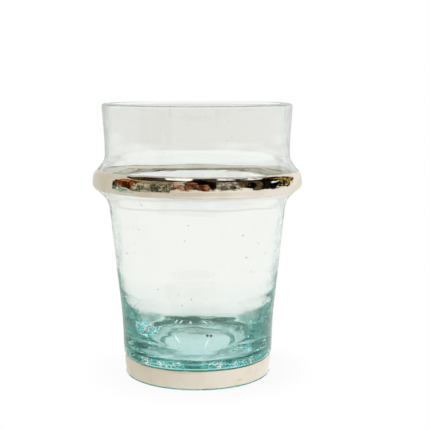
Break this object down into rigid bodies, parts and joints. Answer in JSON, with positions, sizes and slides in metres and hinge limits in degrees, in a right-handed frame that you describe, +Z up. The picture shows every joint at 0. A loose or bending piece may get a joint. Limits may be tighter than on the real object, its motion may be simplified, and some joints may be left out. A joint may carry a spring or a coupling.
{
  "type": "tea glass",
  "caption": "Hand-blown tumbler for mint tea: tapered body with a thick aqua base, bulging collar under a flared neck, and silver bands round the bulge and foot.",
  "frame": {"origin": "centre of the foot on the plane that the glass stands on", "axes": "+Z up along the axis of the glass, from the foot to the lip; X and Y are alike, because the glass is round"},
  "size_m": [0.077, 0.077, 0.1],
  "materials": {
    "glass": "clear hand-blown soda-lime glass, nearly colourless where thin and aqua where thick, with seeds and slight waves",
    "silver": "bright polished silver with a warm cast, slightly uneven edges and light wear"
  },
  "bodies": {
    "root": {"glass_vessel": "glass", "collar_band": "silver", "foot_band": "silver"}
  },
  "joints": []
}
